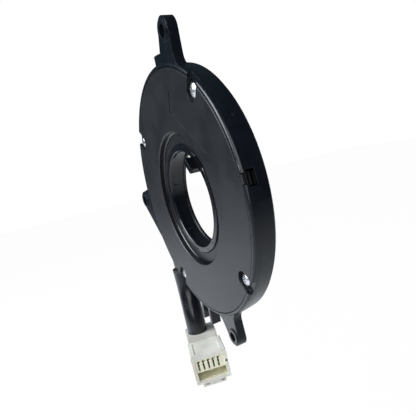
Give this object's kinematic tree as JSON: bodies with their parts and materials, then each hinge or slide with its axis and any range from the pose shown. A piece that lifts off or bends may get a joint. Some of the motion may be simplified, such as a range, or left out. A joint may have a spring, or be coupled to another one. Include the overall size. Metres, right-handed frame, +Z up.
{
  "type": "steering angle sensor",
  "caption": "Ring-shaped steering column sensor whose driven rotor turns small magnet gears under a curved circuit board, with fixing lugs and a short cable to a plug.",
  "frame": {"origin": "on the rotor's axis, in the plane of the lugs' rear seat faces", "axes": "+Y along the rotor's axis to the rear (the cover faces -Y), +Z up, +X to the right; the cable hangs towards -Z"},
  "size_m": [0.1133, 0.0244, 0.1548],
  "materials": {
    "black_plastic": "fine satin grain, moulded",
    "rotor_plastic": "smooth satin, low friction plastic",
    "gear_plastic": "smooth natural acetal",
    "magnet_metal": "nickel-plated sintered magnet",
    "steel": "zinc-plated, bright",
    "board_green": "green solder mask",
    "chip_black": "moulded epoxy",
    "ceramic": "sintered ceramic",
    "connector_white": "natural nylon",
    "connector_grey": "pale grey glass-filled nylon",
    "lock_cream": "cream nylon",
    "rubber": "moulded rubber",
    "lead_red": "extruded insulation",
    "sleeve_vinyl": "glossy soft vinyl tube",
    "brass": "tin-plated spring brass"
  },
  "bodies": {
    "body": {"housing": "black_plastic", "cover": "black_plastic", "gear_pins": "steel", "circuit_board": "board_green", "angle_sensor_a": "chip_black", "angle_sensor_b": "chip_black", "microcontroller": "chip_black", "bus_transceiver": "chip_black", "voltage_regulator": "chip_black", "crystal": "steel", "board_capacitors": "ceramic", "board_resistors": "ceramic", "board_header": "connector_white", "cover_screws": "steel", "board_screws": "steel", "cable_grommet": "rubber", "lead_wires": "lead_red", "cable_sleeve": "sleeve_vinyl", "wire_cover": "connector_grey", "connector_shell": "connector_grey", "terminal_lock": "lock_cream", "connector_terminals": "brass"},
    "rotor": {"rotor": "rotor_plastic"},
    "gear_a": {"measuring_gear_a": "gear_plastic", "magnet_a": "magnet_metal"},
    "gear_b": {"measuring_gear_b": "gear_plastic", "magnet_b": "magnet_metal"}
  },
  "joints": [
    {"name": "rotor_spin", "type": "hinge", "parent": "body", "child": "rotor", "pos_m": [0, 0, 0], "axis": [0, 1, 0], "continuous": true},
    {"name": "gear_a_spin", "type": "hinge", "parent": "body", "child": "gear_a", "pos_m": [-0.0328, 0, -0.00313], "axis": [0, 1, 0], "continuous": true},
    {"name": "gear_b_spin", "type": "hinge", "parent": "body", "child": "gear_b", "pos_m": [-0.00459, 0, -0.03192], "axis": [0, 1, 0], "continuous": true}
  ],
  "couplings": [
    {"joint": "gear_a_spin", "follows": "rotor_spin", "ratio": -2.3571},
    {"joint": "gear_b_spin", "follows": "rotor_spin", "ratio": -2.5385}
  ]
}
